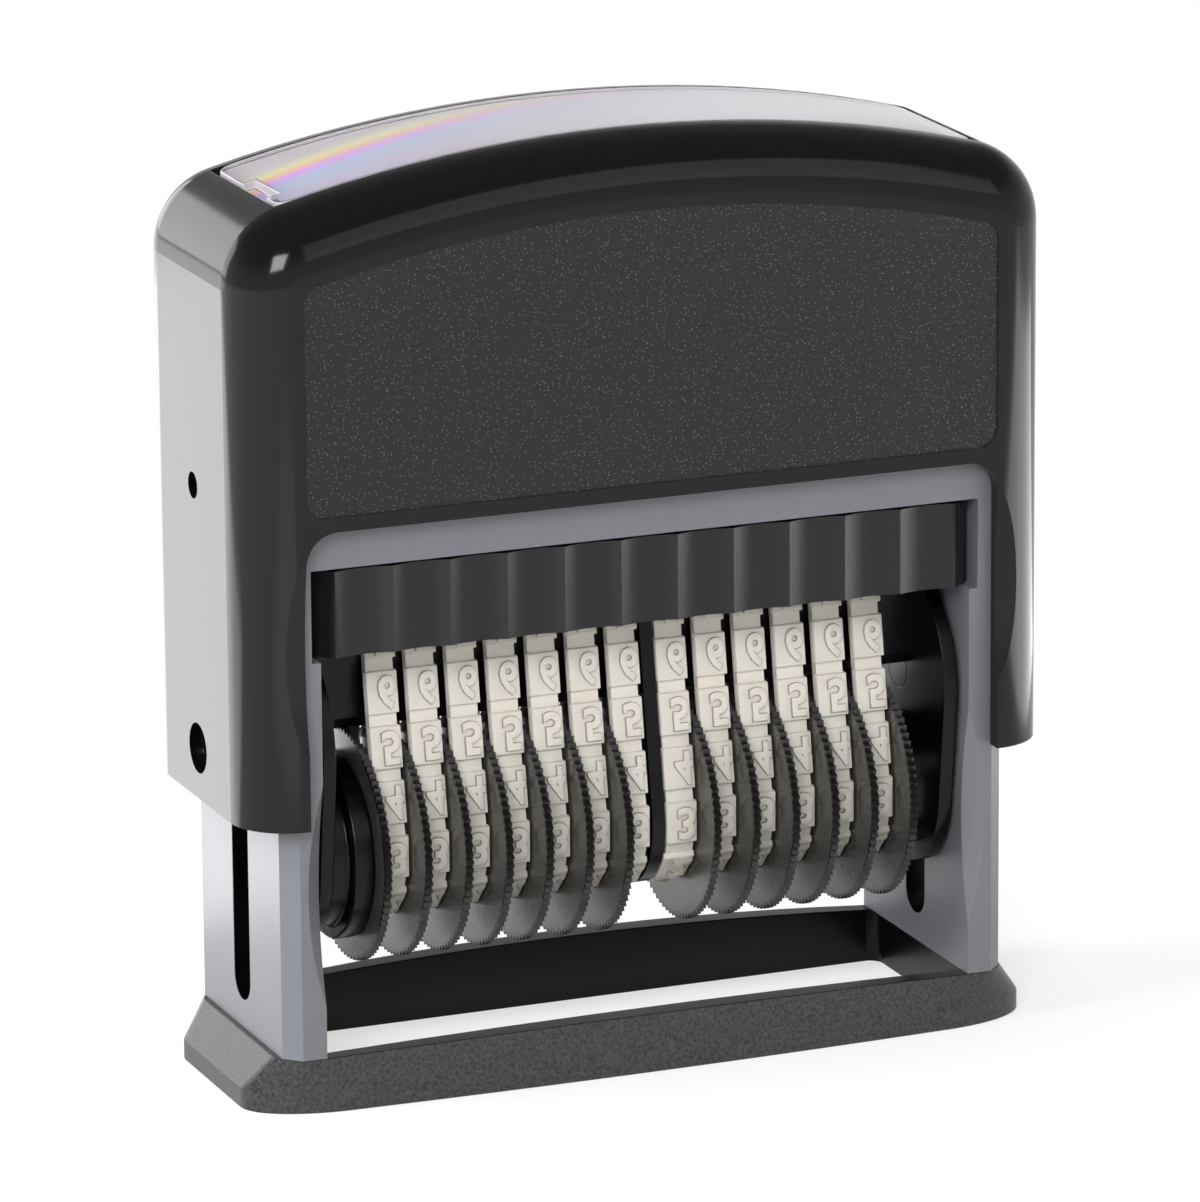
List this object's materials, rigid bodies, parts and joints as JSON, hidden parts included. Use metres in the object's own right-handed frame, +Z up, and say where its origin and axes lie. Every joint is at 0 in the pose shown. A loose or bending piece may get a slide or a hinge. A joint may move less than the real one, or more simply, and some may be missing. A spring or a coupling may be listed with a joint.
{
  "type": "numbering stamp",
  "caption": "Self-inking hand stamp with rows of number bands set by toothed wheels; pressing the hood turns the type over and prints through the open foot.",
  "frame": {"origin": "middle of the foot's underside, on the paper", "axes": "+Z up along the stroke, +X along the line of type to the right, -Y towards the front with the tray grip"},
  "size_m": [0.064, 0.0228, 0.0713],
  "materials": {
    "foot_plastic": "fine grain",
    "frame_plastic": "satin",
    "spring_steel": "drawn wire",
    "hood_plastic": "gloss, grained panel",
    "window_clear": "clear",
    "card_paper": "pearl film",
    "carrier_plastic": "satin",
    "axle_steel": "ground",
    "tray_plastic": "satin",
    "pad_felt": "inked felt",
    "band_rubber": "matte",
    "wheel_plastic": "satin"
  },
  "bodies": {
    "stand": {"base_foot": "foot_plastic", "inner_frame": "frame_plastic", "return_spring_left": "spring_steel", "return_spring_right": "spring_steel"},
    "hood": {"hood_shell": "hood_plastic", "index_window": "window_clear", "index_card": "card_paper"},
    "carrier": {"carrier_plate_left": "carrier_plastic", "carrier_plate_right": "carrier_plastic", "pivot_pin_left": "carrier_plastic", "pivot_pin_right": "carrier_plastic", "type_bridge": "carrier_plastic", "centre_divider": "carrier_plastic", "wheel_axle": "axle_steel", "end_flange": "carrier_plastic", "end_spacer": "carrier_plastic", "number_band_01": "band_rubber", "number_band_02": "band_rubber", "number_band_03": "band_rubber", "number_band_04": "band_rubber", "number_band_05": "band_rubber", "number_band_06": "band_rubber", "number_band_07": "band_rubber", "number_band_08": "band_rubber", "number_band_09": "band_rubber", "number_band_10": "band_rubber", "number_band_11": "band_rubber", "number_band_12": "band_rubber", "number_band_13": "band_rubber"},
    "pad_tray": {"pad_tray": "tray_plastic", "ink_pad": "pad_felt"},
    "wheel_01": {"digit_wheel_01": "wheel_plastic"},
    "wheel_02": {"digit_wheel_02": "wheel_plastic"},
    "wheel_03": {"digit_wheel_03": "wheel_plastic"},
    "wheel_04": {"digit_wheel_04": "wheel_plastic"},
    "wheel_05": {"digit_wheel_05": "wheel_plastic"},
    "wheel_06": {"digit_wheel_06": "wheel_plastic"},
    "wheel_07": {"digit_wheel_07": "wheel_plastic"},
    "wheel_08": {"digit_wheel_08": "wheel_plastic"},
    "wheel_09": {"digit_wheel_09": "wheel_plastic"},
    "wheel_10": {"digit_wheel_10": "wheel_plastic"},
    "wheel_11": {"digit_wheel_11": "wheel_plastic"},
    "wheel_12": {"digit_wheel_12": "wheel_plastic"},
    "wheel_13": {"digit_wheel_13": "wheel_plastic"}
  },
  "joints": [
    {"name": "hood_press", "type": "slide", "parent": "stand", "child": "hood", "axis": [0, 0, -1], "range_m": [0, 0.0162], "stiffness_N_per_m": 400, "springref_m": -0.015, "deforming": ["return_spring_left", "return_spring_right"]},
    {"name": "carrier_turn", "type": "hinge", "parent": "hood", "child": "carrier", "pos_m": [0, 0, 0.02605], "axis": [1, 0, 0], "range_deg": [0, 180]},
    {"name": "tray_slide", "type": "slide", "parent": "stand", "child": "pad_tray", "axis": [0, 1, 0], "range_m": [-0.018, 0]},
    {"name": "wheel_turn_01", "type": "hinge", "parent": "carrier", "child": "wheel_01", "pos_m": [0, -0.001, 0.01775], "axis": [1, 0, 0], "continuous": true},
    {"name": "wheel_turn_02", "type": "hinge", "parent": "carrier", "child": "wheel_02", "pos_m": [0, -0.001, 0.01775], "axis": [1, 0, 0], "continuous": true},
    {"name": "wheel_turn_03", "type": "hinge", "parent": "carrier", "child": "wheel_03", "pos_m": [0, -0.001, 0.01775], "axis": [1, 0, 0], "continuous": true},
    {"name": "wheel_turn_04", "type": "hinge", "parent": "carrier", "child": "wheel_04", "pos_m": [0, -0.001, 0.01775], "axis": [1, 0, 0], "continuous": true},
    {"name": "wheel_turn_05", "type": "hinge", "parent": "carrier", "child": "wheel_05", "pos_m": [0, -0.001, 0.01775], "axis": [1, 0, 0], "continuous": true},
    {"name": "wheel_turn_06", "type": "hinge", "parent": "carrier", "child": "wheel_06", "pos_m": [0, -0.001, 0.01775], "axis": [1, 0, 0], "continuous": true},
    {"name": "wheel_turn_07", "type": "hinge", "parent": "carrier", "child": "wheel_07", "pos_m": [0, -0.001, 0.01775], "axis": [1, 0, 0], "continuous": true},
    {"name": "wheel_turn_08", "type": "hinge", "parent": "carrier", "child": "wheel_08", "pos_m": [0, -0.001, 0.01775], "axis": [1, 0, 0], "continuous": true},
    {"name": "wheel_turn_09", "type": "hinge", "parent": "carrier", "child": "wheel_09", "pos_m": [0, -0.001, 0.01775], "axis": [1, 0, 0], "continuous": true},
    {"name": "wheel_turn_10", "type": "hinge", "parent": "carrier", "child": "wheel_10", "pos_m": [0, -0.001, 0.01775], "axis": [1, 0, 0], "continuous": true},
    {"name": "wheel_turn_11", "type": "hinge", "parent": "carrier", "child": "wheel_11", "pos_m": [0, -0.001, 0.01775], "axis": [1, 0, 0], "continuous": true},
    {"name": "wheel_turn_12", "type": "hinge", "parent": "carrier", "child": "wheel_12", "pos_m": [0, -0.001, 0.01775], "axis": [1, 0, 0], "continuous": true},
    {"name": "wheel_turn_13", "type": "hinge", "parent": "carrier", "child": "wheel_13", "pos_m": [0, -0.001, 0.01775], "axis": [1, 0, 0], "continuous": true}
  ],
  "couplings": [
    {"joint": "carrier_turn", "follows": "hood_press", "rad_per_m": 193.92}
  ]
}
